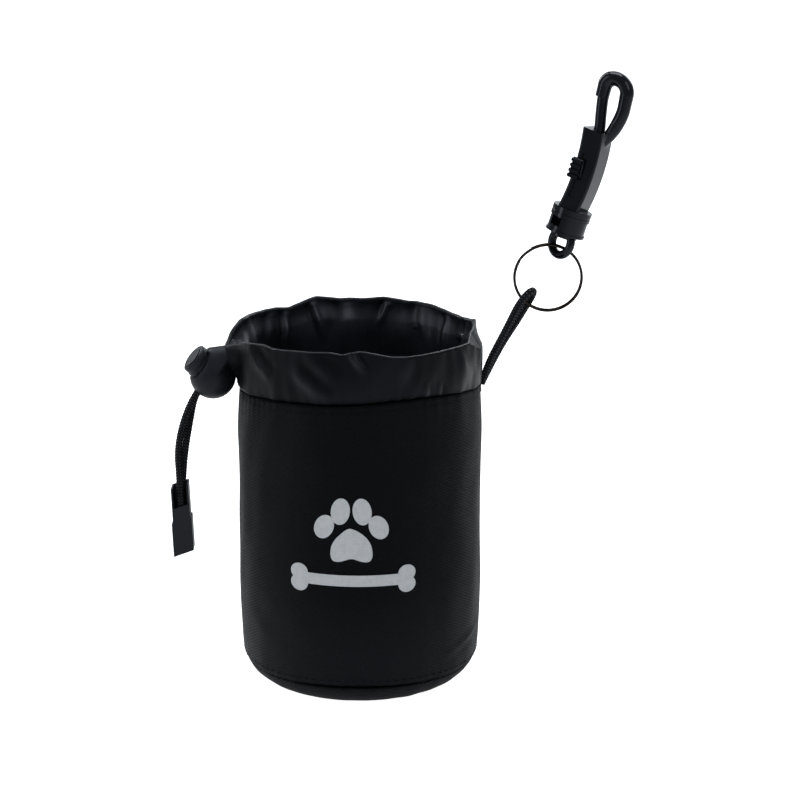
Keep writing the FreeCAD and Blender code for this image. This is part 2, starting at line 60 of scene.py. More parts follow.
# Pouch
WALL_R = 44.5 * MM
BASE_ROUNDING = 11 * MM
COLLAR_R = 44.9 * MM
RIM_FOLD = 0.9 * MM
COLLAR_INNER_LOW = 110.8 * MM
COLLAR_INNER_R = 42.8 * MM
LINING_R = 41.3 * MM
DRAWCORD_LEVEL = 123.4 * MM
DRAWCORD_CLEAR_R = 41.4 * MM
LINING_TOP = 112.4 * MM
LINING_SEAM = 10.0 * MM
LINING_FLOOR = 2.8 * MM
LINING_ROUNDING = 8 * MM
SIDE_SEAM_ANGLE = 9.0
# Facing of the painted shade on the casing's left front, in degrees
PAINTED_SHADE_FACING = -142
COLUMNS = 720
WEAVE_TURN = 508
PRINT_FACING = -93
PRINT_MIDDLE = 61

# Height of the casing's rim and of its seam round the pouch: (angle, millimetres)
RIM = [
    (-180, 131.0), (-168, 129.8), (-155, 131.5), (-141, 132.7), (-134, 132.3), (-117, 133.4),
    (-103, 133.7), (-97, 132.8), (-93, 134.0), (-87, 134.3), (-82, 133.5), (-74, 132.1),
    (-65, 131.8), (-49, 131.5), (-30, 131.3), (-22, 131.3), (-6, 131.6), (8, 132.0),
    (12.5, 133.4), (17, 132.3), (27, 131.2), (39, 131.4), (53, 132.8), (67, 133.0),
    (78, 134.0), (89, 133.0), (101, 133.2), (113, 134.6), (122, 133.0), (129, 131.8),
    (137, 132.8), (151, 133.1), (166, 133.2), (180, 131.0),
]
SEAM = [
    (-180, 111.6), (-168, 111.7), (-141, 113.1), (-126, 113.9), (-101, 114.8), (-75, 115.8),
    (-60, 116.0), (-42, 115.2), (-19, 112.9), (0, 112.2), (60, 113.0), (120, 113.0), (180, 111.6),
]
# How far the pouch's two sides stand out from its round shape: (height, millimetres)
SIDES = [(0, -1.7), (7, -0.8), (12, -0.1), (25, 0.7), (38, 1.0), (70, 0.45), (95, 0.85), (112, 0.1)]
BASE_SEAM = [(-180, 7.2), (-94, 8.3), (0, 7.2), (90, 8.0), (180, 7.2)]

# Soft folds: top angle, top z, bottom angle, bottom z, height out of the cloth, half width
OUTER_FOLDS = [
    (-93.5, 134.0, -87.5, 127.5, 0.75, 1.3),
    (-121, 126.5, -104, 116.5, 0.6, 2.6),
    (-112, 131.0, -101, 123.0, 0.3, 2.6),
    (-150, 129.0, -133, 121.0, 0.6, 2.6),
    (-58, 121.0, -57, 115.5, 0.35, 1.3),
    (-50, 120.0, -49.5, 115.0, 0.35, 1.1),
    (-37, 130.0, -29, 118.0, 0.35, 3.2),
    (-66, 131.0, -70, 121.0, 0.3, 3.0),
    (-12, 131.0, -14, 118.0, 0.45, 1.9),
    (25, 131.0, 30, 117.0, 0.6, 2.0),
    (62, 133.0, 55, 118.0, 0.6, 2.4),
    (95, 133.0, 101, 117.0, 0.7, 2.2),
    (131, 131.0, 124, 116.0, 0.6, 2.4),
    (158, 131.0, 151, 118.0, 0.6, 2.0),
]
INNER_FOLDS = [
    (116, 134.0, 111, 119.0, 0.9, 1.5),
    (75, 133.5, 80, 124.0, 0.9, 1.4),
    (40, 132.5, 39, 114.0, 0.7, 1.5),
    (131.5, 131.5, 134, 115.0, 0.8, 1.6),
    (141, 132.0, 147, 120.0, 0.5, 2.2),
    (97, 131.0, 101, 117.0, 0.6, 3.0),
    (58, 131.0, 52, 116.0, 0.5, 2.6),
    (20, 130.0, 24, 115.0, 0.6, 2.0),
    (160, 130.0, 165, 116.0, 0.6, 2.0),
    (-60, 130.0, -64, 116.0, 0.6, 2.2),
    (-100, 131.0, -96, 116.0, 0.6, 2.0),
    (-130, 130.0, -134, 116.0, 0.6, 2.2),
]
LINING_FOLDS = [
    (118, 112.0, 108, 62.0, 0.9, 4.0),
    (78, 112.0, 88, 70.0, 0.8, 3.2),
    (41, 112.0, 36, 52.0, 0.9, 3.6),
    (140, 110.0, 150, 60.0, 0.8, 4.0),
    (10, 110.0, 4, 50.0, 0.7, 4.0),
    (-60, 110.0, -70, 40.0, 0.8, 5.0),
    (-120, 110.0, -112, 45.0, 0.8, 5.0),
]
WALL_FOLDS = [
    (-12, 22.5, -44, 16.5, 0.55, 1.7),
    (-150, 30.0, -135, 20.0, 0.3, 4.0),
    (-38, 112.0, -30, 96.0, 0.3, 4.5),
    (-132, 110.0, -139, 92.0, 0.3, 4.5),
    (60, 40.0, 95, 30.0, 0.4, 4.0),
    (120, 100.0, 112, 80.0, 0.4, 5.0),
]

# The casing's spout, pulled out and down to the cord lock
SPOUT_ANGLE = 180.0
SPOUT_LOW = 113.4 * MM
SPOUT_RUN = 13.0 * MM
SPOUT_OUT = 5.0 * MM
SPOUT_DROP = 5.0 * MM
SPOUT_HOLE = Vector((-48.6, 0, 121.5)) * MM
SPOUT_HOLE_R = 2.4 * MM
SPOUT_PLEATS = 7
LOCK_CENTRE = Vector((-54.4, 0, 114.7)) * MM
BALL_CENTRE = Vector((-54.0, 0, 113.95)) * MM
BALL_R = 8.5 * MM
BUTTON_SIZE = 1.07
BUTTON_AXIS = Vector((-0.7534, -0.1805, 0.6325))
BUTTON_BANDS = (6.9, 7.4)
BUTTON_PROUD = (0.9, 0, 0.3)
LOCK_SPRING_FOOT = -6.3
LOCK_SPRING_KEPT = 0.25
LOCK_R = 9.0 * MM
SHOULDER_TOP = 10.8 * MM
SHOULDER_SLOPE = 0.14

# The flap at the casing's side, where its rim folds in along a straight line
FLAP_FACING = -7.5
FLAP_RADIUS = 41.0 * MM
FLAP_ROOT_R = 44.4 * MM
FLAP_HALF = 21.5
FLAP_DEPTH = 6.4 * MM

# Cords
CORD_R = 1.2 * MM
BRAID_STRANDS = 6
BRAID_PITCH = 1.15 * MM
TAIL_FRONT = [
    (-48.42, -1.3, 121.82), (-54.4, -1.3, 114.7), (-60.9, -1.35, 106.9), (-65.5, -1.2, 95.9),
    (-67.6, -0.6, 85.0), (-67.0, -1.15, 76.0), (-66.9, -1.25, 67.0), (-66.4, -1.25, 58.4),
]
TAIL_BACK = [
    (-48.42, 1.3, 121.82), (-54.4, 1.3, 114.7), (-60.9, 1.35, 106.9), (-63.0, 1.2, 96.1),
    (-65.0, 0.6, 85.0), (-65.9, 1.15, 76.0), (-66.5, 1.25, 67.0), (-66.4, 1.25, 58.4),
]
HANG_LOOP = [
    (44.9, -1.35, 111.3), (47.1, -1.5, 118.4), (50.4, -1.8, 125.4), (54.2, -2.1, 132.9),
    (58.0, -2.3, 141.2), (61.7, -2.6, 146.0), (63.7, 0.1, 146.3), (63.6, 2.5, 143.9),
    (61.0, 2.2, 139.6), (57.3, 1.9, 133.4), (52.7, 1.7, 126.2), (48.5, 1.5, 118.2),
    (45.1, 1.35, 111.0),
]

# Split ring
RING_CENTRE = Vector((68.9, 0, 151.0)) * MM
RING_R = 12.25 * MM
RING_WIRE_R = 0.50 * MM
RING_COIL_OFFSET = 0.5 * MM
RING_END_ANGLE = 150
RING_RAMP_ANGLE = 30

# Snap hook. Its own axes: V from the bolt to the spine, W away from the thumb tab, U up its length.
# Places along them are in millimetres.
HOOK_ORIGIN = Vector((73.7, 0, 164.6)) * MM
HOOK_U = Vector((0.309, 0, 0.951)).normalized()
HOOK_V_HINT = Vector((0.847, -0.454, -0.275))
HOUSING_TOP = 42.6
HOUSING_FACE = -5.6
BOLT_V = -0.9
SLOT_HALF_WIDTH = 1.15
SLOT = (17.2, 33.8)
SLOT_FLOOR = 0.6
TAB_DROP = 1.3 * MM
TAB_SHIFT = 0.4 * MM
BOLT_SPRING_FOOT = 14.3
BOLT_SPRING_KEPT = 0.32

# Sewing thread
STITCH_LENGTH = 2.5 * MM
STITCH_GAP = 0.6 * MM
THREAD_R = 0.15 * MM
TOPSTITCH = 2.4
BASE_STITCH = 2.2
TACK_LOW = 108.6 * MM
TACK_LENGTH = 6.5 * MM

# Tint of the faint shine on near-black cloth and plastic
COOL = (0.86, 0.87, 1.0)


# Meshes

def add_object(name, mesh):
    made = bpy.data.objects.new(name, mesh)
    bpy.context.scene.collection.objects.link(made)
    return made


def mesh_object(name, points, faces, smooth=True):
    mesh = bpy.data.meshes.new(name)
    mesh.from_pydata(np.asarray(points).tolist(), [], faces)
    mesh.validate()
    mesh.polygons.foreach_set("use_smooth", [smooth] * len(mesh.polygons))
    mesh.update()
    return add_object(name, mesh)


def set_painted_light_and_shade(made, shade):
    """Stores painted light and shade at each point, a factor on the cloth's colour and shine: below 1 is
    painted shade down in seams, above 1 is painted light.
    """
    layer = made.data.attributes.new("shade", "FLOAT", "POINT")
    layer.data.foreach_set("value", np.asarray(shade, np.float32).ravel())


def grid_faces(rows, columns, flip=False, first=0):
    """Quads over a grid of points, joined round its columns."""
    row, column = np.meshgrid(np.arange(rows - 1), np.arange(columns), indexing="ij")
    onward = (column + 1) % columns
    corners = [row * columns + column, row * columns + onward,
               (row + 1) * columns + onward, (row + 1) * columns + column]
    if flip:
        corners.reverse()
    return (np.stack(corners, axis=-1).reshape(-1, 4) + first).tolist()


def tube_faces(rows, columns, first=0):
    """Faces of a tube with flat ends."""
    last = first + (rows - 1) * columns
    ends = [list(range(first + columns - 1, first - 1, -1)), list(range(last, last + columns))]
    return grid_faces(rows, columns, first=first) + ends


def cup_faces(rows, columns, flip=False):
    """Faces of a tube with a flat end on its last ring only."""
    last = (rows - 1) * columns
    end = list(range(last, last + columns))
    return grid_faces(rows, columns, flip) + [end[::-1] if flip else end]


def cut_across(edit, place, direction):
    """Adds a line of edges where a plane crosses a mesh."""
    everything = edit.verts[:] + edit.edges[:] + edit.faces[:]
    bmesh.ops.bisect_plane(edit, geom=everything, plane_co=place, plane_no=direction)


def ring_angles(count=COLUMNS):
    return np.arange(count) * 2 * math.pi / count - math.pi


def round_points(radius, angle, z):
    return np.stack([radius * np.cos(angle), radius * np.sin(angle), z], axis=-1)


def smooth_step(x):
    x = np.clip(x, 0, 1)
    return x * x * (3 - 2 * x)


def hump(x, width):
    """1 at 0, fading softly to both sides."""
    return np.exp(-(x / width) ** 2)


def gathers(angle, count, sway, beat):
    """Uneven upright puckers round the pouch, 0 to 1."""
    return np.abs(np.sin(count * angle + sway * np.sin(beat * angle)))


def heights(table, angle, softness=1.3):
    """Heights given at some angles, eased into one soft line that closes round the pouch."""
    degrees, level = np.array(table, float).T
    step = 0.25
    margin = 40
    fine = np.arange(-180, 180, step)
    values = np.interp(fine, degrees, level)
    kernel = hump(np.arange(-margin, margin + 1) * step, softness)
    all_round = np.concatenate([values[-margin:], values, values[:margin]])
    values = np.convolve(all_round, kernel / kernel.sum(), "valid")
    return np.interp(np.degrees(angle), np.append(fine, 180), np.append(values, values[0])) * MM


def ripples(angle, z, seed, fewest, most, length, count=14):
    """A soft uneven field of about -1 to 1 that closes round the pouch."""
    chance = np.random.default_rng(seed)
    total = np.zeros(np.broadcast(angle, z).shape)
    for _ in range(count):
        waves = int(chance.integers(fewest, most + 1))
        climb = chance.uniform(-1, 1) * 2 * math.pi / length
        total += np.cos(waves * angle + climb * z + chance.uniform(0, 2 * math.pi))
    return total / math.sqrt(count)


def wrapped(angle):
    return (angle + math.pi) % (2 * math.pi) - math.pi


def folds(table, angle, z):
    """Creases that rise from the cloth along straight lines and dip beside them."""
    total = np.zeros(np.broadcast(angle, z).shape)
    for top_angle, top_z, low_angle, low_z, rise, half_width in table:
        across = wrapped(angle - math.radians(low_angle)) * WALL_R
        up = z - low_z * MM
        run_across = math.radians(top_angle - low_angle) * WALL_R
        run_up = (top_z - low_z) * MM
        length = math.hypot(run_across, run_up)
        along = (across * run_across + up * run_up) / length ** 2
        away = (across * run_up - up * run_across) / length / (half_width * MM)
        fade = smooth_step(1 - np.abs(along - 0.55) / 0.75)
        total += rise * MM * fade * (np.exp(-away ** 2) - 0.55 * np.exp(-(away - 1.5) ** 2))
    return total


def side_seam(angle):
    """The lap of an upright side seam, with the groove beside it."""
    across = wrapped(angle - math.radians(SIDE_SEAM_ANGLE)) * WALL_R / MM
    lap = smooth_step((across + 0.3) / 0.5) * smooth_step((5 - across) / 2)
    return 0.22 * MM * lap - 0.35 * MM * hump(across, 0.35)


# Pouch

def print_zone(angle, z):
    """1 where the print lies and the cloth is kept even, 0 away from it."""
    beside = smooth_step((np.abs(wrapped(angle - math.radians(PRINT_FACING))) * WALL_R / MM - 26) / 12)
    above = smooth_step((np.abs(z / MM - PRINT_MIDDLE) - 20) / 14)
    return 1 - np.maximum(beside, above)


def side_shape(angle, z):
    """How far the wall stands out at its two sides, eased from height to height."""
    height, out = np.array(SIDES).T
    steps = (-3, -1.5, 0, 1.5, 3)
    eased = sum(np.interp(z / MM + step, height, out) for step in steps) / len(steps)
    return eased * MM * np.abs(np.cos(angle)) ** 3


def wall_radius(angle, z):
    seam = heights(SEAM, angle)
    low = heights(BASE_SEAM, angle)
    wave = 0.28 * MM * ripples(angle, z, 3, 2, 6, 0.14)
    wave += 0.09 * MM * ripples(angle, z, 5, 9, 22, 0.03)
    wave += folds(WALL_FOLDS, angle, z)
    puckers = gathers(angle, 31, 2.2, 5) * (0.6 + 0.4 * np.sin(7 * angle + 1))
    below_seam = np.clip((seam - z) / MM, 0, None)
    wave -= 0.4 * MM * puckers * np.exp(-below_seam / 4)
    above_base = np.clip((z - low) / MM, 0, None)
    wave -= 0.22 * MM * gathers(angle, 23, 1.7, 4) * np.exp(-above_base / 3.5)
    stitched = 0.2 * MM * hump(below_seam - TOPSTITCH, 0.7)
    tucked = 1.1 * MM * hump(below_seam, 0.6) + 0.7 * MM * np.exp(-above_base / 0.6)
    even = print_zone(angle, z)
    round_shape = WALL_R - 0.05 * MM + side_shape(angle, z)
    return round_shape + wave * (1 - even) + side_seam(angle) - stitched - tucked


def outer_wall():
    angle = ring_angles()
    share = np.linspace(0, 1, 126)[:, None]
    low = heights(BASE_SEAM, angle)
    high = heights(SEAM, angle) + 0.8 * MM
    z = low + (high - low) * share
    around = np.broadcast_to(angle, z.shape)
    points = round_points(wall_radius(around, z), around, z)
    made = mesh_object("pouch_wall", points.reshape(-1, 3), grid_faces(*z.shape))
    below_seam = np.clip((heights(SEAM, angle) - z) / MM, 0, None)
    above_base = np.clip((z - low) / MM, 0, None)
    # Painted light and shade: the wall is painted lighter towards the bottom, and painted shade darkens it
    # along the collar seam and the base seam.
    painted_light_low = 0.85 + 0.75 * smooth_step((52 - z / MM) / 42)
    painted_seam_shade = 0.9 * hump(below_seam, 0.75) + 0.8 * hump(above_base, 0.7)
    set_painted_light_and_shade(made, painted_light_low * (1 - painted_seam_shade))
    return made


def base_panel():
    """The base's round panel, up its rounded edge to the seam."""
    columns = 360
    angle = ring_angles(columns)
    low = heights(BASE_SEAM, angle)
    points = []
    for share in np.linspace(0, 1, 26):
        z = (low - 0.1 * MM) * (1 - share)
        swing = np.arccos(np.clip((BASE_ROUNDING - z) / BASE_ROUNDING, -1, 1))
        radius = WALL_R - BASE_ROUNDING + BASE_ROUNDING * np.sin(swing) + side_shape(angle, z)
        from_seam = (low - z) / MM
        radius -= 0.35 * MM * np.exp(-from_seam / 0.6)
        radius += 0.10 * MM * ripples(angle, z, 8, 12, 30, 0.02) * smooth_step(from_seam / 2)
        points.append(round_points(radius, angle, z))
    rim_r = WALL_R - BASE_ROUNDING
    for share in np.linspace(1, 0.02, 18)[1:]:
        dish = 0.5 * MM * smooth_step((1 - share) / 0.3)
        wave = 0.08 * MM * (1 + ripples(angle, np.full(columns, share * 0.03), 9, 2, 5, 0.02))
        radius = (rim_r + side_shape(angle, np.zeros(columns))) * share
        points.append(round_points(radius, angle, dish + wave * smooth_step((1 - share) / 0.3)))
    made = mesh_object("base_cover", np.concatenate(points), cup_faces(len(points), columns, flip=True))
    z = np.concatenate(points)[:, 2].reshape(-1, columns)
    # Painted light and shade: the base is painted lighter overall, with painted shade along its seam.
    set_painted_light_and_shade(made, 1.6 - 1.3 * hump(np.clip(low - z, 0, None), 0.7 * MM))
    return made


def spout_pull(points, angle, z):
    """Cloth near the spout goes out and down to the cord lock in small pleats, and lies on its ball."""
    across = wrapped(angle - math.radians(SPOUT_ANGLE)) * WALL_R / MM
    climb = np.clip((z - SPOUT_LOW) / SPOUT_RUN, 0, 1)
    wide = np.where(across > 0, 6.5, 8.0) + 2.5 * climb
    out = SPOUT_OUT * smooth_step(climb) ** 0.8 * hump(across, wide)
    drop_wide = np.where(across > 0, 8.5, 6.5)
    drop = SPOUT_DROP * smooth_step(climb) * hump(across, drop_wide)
    up = (z - SPOUT_LOW) / MM - 7
    spoke = np.arctan2(up, across)
    away = np.hypot(across, up)
    pleat = 0.5 * MM * (np.abs(np.sin(SPOUT_PLEATS / 2 * spoke + 0.4)) - 0.5)
    out = out + pleat * hump(away - 6, 3.0)
    moved = points + np.stack([-out, 0 * out, -drop], axis=-1)
    centre = np.array(BALL_CENTRE)
    reach = moved - centre
    distance = np.linalg.norm(reach, axis=-1, keepdims=True)
    clear = BALL_R + 0.2 * MM
    return np.where(distance < clear, centre + reach / distance * clear, moved)


def inside_drawcord(points):
    """Keeps the casing's inner layer off the drawcord."""
    reach = np.hypot(points[:, 0], points[:, 1])
    above = points[:, 2] - DRAWCORD_LEVEL
    limit = DRAWCORD_CLEAR_R + 0.25 * np.abs(above) + 3 * np.clip(above - 1.6 * MM, 0, None)
    kept = points.copy()
    kept[:, :2] *= np.minimum(1, limit / reach)[:, None]
    return kept


def flap(angle, depth):
    """How far the rim's flap folds in, at a depth below the rim."""
    turned = np.degrees(wrapped(angle - math.radians(FLAP_FACING)))
    chord = FLAP_RADIUS / np.cos(np.radians(np.clip(turned, -FLAP_HALF, FLAP_HALF)))
    inward = np.minimum(chord - FLAP_ROOT_R, 0) * (np.abs(turned) < FLAP_HALF)
    reach = FLAP_DEPTH * np.clip((turned + FLAP_HALF - 2) / 18, 0.1, 1)
    return inward * np.clip(1 - depth / reach, 0, 1)


def collar_layers():
    """The folded casing: up its outside from the seam, over the rim and down its inside."""
    angle = ring_angles()
    seam = heights(SEAM, angle) - 0.4 * MM
    rim = heights(RIM, angle)
    lean = 0.35 * MM * ripples(angle, np.zeros_like(angle), 21, 3, 9, 1.0)
    lean = lean * smooth_step((np.abs(wrapped(angle)) - 0.4) / 0.3)
    fold = RIM_FOLD * (1 - 0.55 * np.exp(-(wrapped(angle - math.radians(FLAP_FACING)) / 0.33) ** 4))
    rows = []
    # Painted light and shade for each row of the casing, a factor on its colour and shine.
    painted_light_and_shade = []
    for share in np.linspace(0, 1, 64):
        z = seam + (rim - fold - seam) * share
        radius = COLLAR_R + 0.55 * MM * math.sin(math.pi * share ** 0.9) - 0.3 * MM * share
        radius += lean * share ** 2
        above = (z - seam) / MM
        puckers = gathers(angle, 27, 2.6, 4) * (0.55 + 0.45 * np.sin(6 * angle + 2))
        radius -= 0.55 * MM * puckers * np.exp(-above / 2.6)
        radius -= 0.9 * MM * hump(above, 0.5)
        # Painted shade: darker along the seam and down in the puckers' valleys.
        painted_seam_and_pucker_shade = (1 - 0.95 * hump(above, 1.3)) * (1 - 0.7 * puckers ** 3 * np.exp(-above / 1.8))
        radius += 0.22 * MM * ripples(angle, z, 31, 5, 16, 0.022)
        radius += 0.07 * MM * ripples(angle, z, 33, 25, 60, 0.012)
        creases = folds(OUTER_FOLDS, angle, z)
        radius += 1.6 * creases
        radius += flap(angle, rim - z)
        rows.append(spout_pull(round_points(radius, angle, z), angle, z))
        # Painted light and shade on the outside: lighter on crease crests and darker beside them, lighter
        # on the cloth beside the spout, and painted shade on the casing's left front.
        beside_spout = wrapped(angle - math.radians(SPOUT_ANGLE)) * WALL_R / MM
        painted_light_by_spout = smooth_step((z - SPOUT_LOW) / SPOUT_RUN) * hump(beside_spout, 9)
        painted_shade_left = 1 - 0.4 * hump(wrapped(angle - math.radians(PAINTED_SHADE_FACING)), 0.45)
        painted_light_and_shade.append(painted_seam_and_pucker_shade * painted_shade_left * np.clip(1 + 1.3 * creases / MM, 0.5, 2.4) * (1 + 2.6 * painted_light_by_spout))
    outer_top = radius
    inner_top = outer_top - 2 * fold
    middle = (outer_top + inner_top) / 2
    for turn in np.linspace(0, math.pi, 10)[1:-1]:
        edge = round_points(middle + fold * math.cos(turn), angle, rim - fold + fold * math.sin(turn))
        rows.append(spout_pull(edge, angle, rim))
        # Painted light and shade round the rim's fold: darker where it turns over from the outside, lighter
        # towards the inside.
        painted_light_and_shade.append(np.full_like(angle, 0.7 + 0.4 * turn))
    for share in np.linspace(0, 1, 52):
        z = rim - fold + (COLLAR_INNER_LOW - rim + fold) * share
        ease = smooth_step(share / 0.35)
        rest = COLLAR_INNER_R - 0.9 * MM * share - 1.3 * MM * math.sin(math.pi * share)
        radius = inner_top * (1 - ease) + rest * ease
        creases = folds(INNER_FOLDS, angle, z) * smooth_step(share / 0.08)
        radius -= 1.2 * creases
        radius += 0.25 * MM * ripples(angle, z, 41, 5, 15, 0.025) * ease
        low = (z - COLLAR_INNER_LOW) / MM
        radius += 0.4 * MM * gathers(angle, 29, 2.4, 5) * np.exp(-low / 3.5)
        held = round_points(radius, angle, z)
        pulled = spout_pull(held, angle, rim)
        rows.append(inside_drawcord(held + (pulled - held) * smooth_step(1 - share / 0.4)))
        # Painted light on the inner layer, lighter further down, with painted light and shade on its
        # creases.
        painted_light_and_shade.append((2.2 + 3.0 * share) * np.clip(1 + 0.9 * creases / MM, 0.5, 2))
    return np.stack(rows), np.stack(painted_light_and_shade)


def collar():
    points, painted_light_and_shade = collar_layers()
    rows, columns = points.shape[:2]
    made = mesh_object("casing", points.reshape(-1, 3), grid_faces(rows, columns))
    set_painted_light_and_shade(made, painted_light_and_shade)
    edit = bmesh.new()
    edit.from_mesh(made.data)
    hole = [face for face in edit.faces if (face.calc_center_median() - SPOUT_HOLE).length < SPOUT_HOLE_R]
    bmesh.ops.delete(edit, geom=hole, context="FACES")
    edit.to_mesh(made.data)
    edit.free()
    return made


def lining_radius(angle, z):
    radius = LINING_R - 0.25 * MM + 0.3 * MM * ripples(angle, z, 51, 3, 9, 0.08)
    radius -= np.abs(folds(LINING_FOLDS, angle, z))
    top = np.clip((LINING_TOP - z) / MM, 0, None)
    radius -= 0.35 * MM * gathers(angle, 25, 2, 6) * np.exp(-top / 4)
    radius += 0.9 * MM * np.exp(-top / 0.7)
    low = np.clip((z - LINING_SEAM) / MM, 0, None)
    return np.minimum(radius, LINING_R + 0.7 * MM) + 0.5 * MM * np.exp(-low / 0.6)


def lining_wall():
    angle = ring_angles(480)
    z = np.linspace(LINING_SEAM, LINING_TOP, 110)[:, None] + np.zeros_like(angle)
    around = np.broadcast_to(angle, z.shape)
    points = round_points(lining_radius(around, z), around, z)
    made = mesh_object("lining_tube", points.reshape(-1, 3), grid_faces(*z.shape, flip=True))
    # Painted shade on the lining near its top edge.
    set_painted_light_and_shade(made, 1 - 0.85 * np.exp(-(LINING_TOP - z) / (3 * MM)))
    return made


def lining_base():
    columns = 240
    angle = ring_angles(columns)
    outer = LINING_R - 0.2 * MM
    points = []
    for share in np.linspace(0, 1, 22):
        z = LINING_SEAM + 0.4 * MM - (LINING_SEAM + 0.4 * MM - LINING_FLOOR) * share
        swing = math.acos(max(-1, min(1, 1 - (z - LINING_FLOOR) / LINING_ROUNDING)))
        radius = outer - LINING_ROUNDING + LINING_ROUNDING * math.sin(swing)
        radius += 0.15 * MM * ripples(angle, np.full(columns, z), 61, 8, 20, 0.02)
        points.append(round_points(radius, angle, np.full(columns, z)))
    inner = outer - LINING_ROUNDING
    for share in np.linspace(1, 0.02, 14)[1:]:
        wave = 0.15 * MM * ripples(angle, np.full(columns, share * 0.03), 62, 2, 4, 0.03)
        points.append(round_points(inner * share, angle, LINING_FLOOR + wave * (1 - share)))
    made = mesh_object("lining_floor", np.concatenate(points), cup_faces(len(points), columns))
    set_painted_light_and_shade(made, np.ones(len(made.data.vertices)))
    return made


def stitch_row(name, centres, headings, outs, length=STITCH_LENGTH):
    """Short thread lengths that dip into the cloth at both ends."""
    rings = 7
    sides_round = 8
    along = np.linspace(-1, 1, rings)
    turn = np.arange(sides_round) * math.pi / 4
    thick = THREAD_R * np.sqrt(1 - 0.75 * along ** 4)
    x = np.repeat(along * length / 2, sides_round)
    y = (thick[:, None] * np.cos(turn)).ravel()
    lift = (thick[:, None] * np.sin(turn) - (THREAD_R * 1.5 * along ** 2)[:, None]).ravel()
    sides = np.cross(outs, headings)
    points = (centres[:, None] + headings[:, None] * x[:, None] + sides[:, None] * y[:, None]
              + outs[:, None] * lift[:, None])
    faces = []
    for number in range(len(centres)):
        faces += tube_faces(rings, sides_round, number * len(x))
    return mesh_object(name, points.reshape(-1, 3), faces)


def unit(vectors):
    return vectors / np.linalg.norm(vectors, axis=-1, keepdims=True)


def round_stitches(name, seam, above):
    """A row of stitches round the wall, some millimetres above a seam."""
    count = int(2 * math.pi * WALL_R / (STITCH_LENGTH + STITCH_GAP))
    angle = ring_angles(count)

    def on_wall(turn, proud=0.0):
        z = heights(seam, turn) + above * MM
        return round_points(wall_radius(turn, z) + proud, turn, z)

    step = 0.01
    headings = unit(on_wall(angle + step) - on_wall(angle - step))
    outs = round_points(np.ones(count), angle, np.zeros(count))
    return stitch_row(name, on_wall(angle, 0.08 * MM), headings, outs)


def loop_tack():
    """A bar of close stitches that holds the hang loop's ends in the seam."""
    levels = np.arange(7) * 0.5 * MM + TACK_LOW
    angle = np.zeros(len(levels))
    centres = round_points(wall_radius(angle, levels) + 0.25 * MM, angle, levels)
    tilt = np.where(np.arange(len(levels)) % 2, 0.12, -0.12)
    headings = unit(np.stack([np.zeros(len(levels)), np.ones(len(levels)), tilt], axis=-1))
    outs = np.tile([1.0, 0.0, 0.0], (len(levels), 1))
    return stitch_row("loop_tack", centres, headings, outs, length=TACK_LENGTH)


# Cords

def cord_line(name, route):
    """Points along the smooth curve that a cord's route controls."""
    curve = bpy.data.curves.new(name, "CURVE")
    curve.dimensions = "3D"
    curve.resolution_u = 24
    spline = curve.splines.new("NURBS")
    spline.points.add(len(route) - 1)
    for point, place in zip(spline.points, route):
        point.co = (*(Vector(place) * MM), 1)
    spline.order_u = 3
    spline.use_endpoint_u = True
    holder = bpy.data.objects.new(name, curve)
    mesh = bpy.data.meshes.new_from_object(holder)
    line = np.array([vertex.co for vertex in mesh.vertices])
    bpy.data.objects.remove(holder)
    bpy.data.curves.remove(curve)
    bpy.data.meshes.remove(mesh)
    return line


def even_line(line, step):
    """The same line with its points a fixed step apart."""
    along = np.concatenate([[0], np.cumsum(np.linalg.norm(np.diff(line, axis=0), axis=1))])
    at = np.linspace(0, along[-1], int(along[-1] / step) + 1)
    return np.stack([np.interp(at, along, line[:, axis]) for axis in range(3)], axis=1), at


def frames_along(line, first_side):
    """A side and a second side for each point of a line, turned no more than the line turns."""
    heading = unit(np.gradient(line, axis=0))
    side = np.array(first_side, float)
    sides = []
    for direction in heading:
        side = side - direction * side.dot(direction)
        side = side / np.linalg.norm(side)
        sides.append(side)
    sides = np.array(sides)
    return sides, np.cross(heading, sides)


def braided_cord(name, line):
    """A tube of over-and-under strands round a line."""
    centre, at = even_line(line, 0.13 * MM)
    sides, others = frames_along(centre, (0, 1, 0))
    count = 60
    turn = np.arange(count) * 2 * math.pi / count
    right = turn[None, :] / (2 * math.pi) * BRAID_STRANDS + at[:, None] / BRAID_PITCH
    left = turn[None, :] / (2 * math.pi) * BRAID_STRANDS - at[:, None] / BRAID_PITCH
    over = (np.floor(right) + np.floor(left)) % 2 < 0.5
    right_crown = np.sin(math.pi * (right % 1))
    left_crown = np.sin(math.pi * (left % 1))
    right_back = right_crown ** 0.7 * (0.6 + 0.4 * left_crown)
    left_back = left_crown ** 0.7 * (0.6 + 0.4 * right_crown)
    pillow = np.where(over, right_back, left_back)
    radius = CORD_R - 0.14 * MM + 0.34 * MM * pillow
    points = (centre[:, None] + sides[:, None] * (radius * np.cos(turn))[..., None]
              + others[:, None] * (radius * np.sin(turn))[..., None])
    made = mesh_object(name, points.reshape(-1, 3), tube_faces(len(centre), count))
    # Painted shade between the strands, and painted light on the strands of one direction.
    set_painted_light_and_shade(made, (0.05 + 1.6 * pillow ** 2) * np.where(over, 1.4, 0.55))
    return made


# Hardware

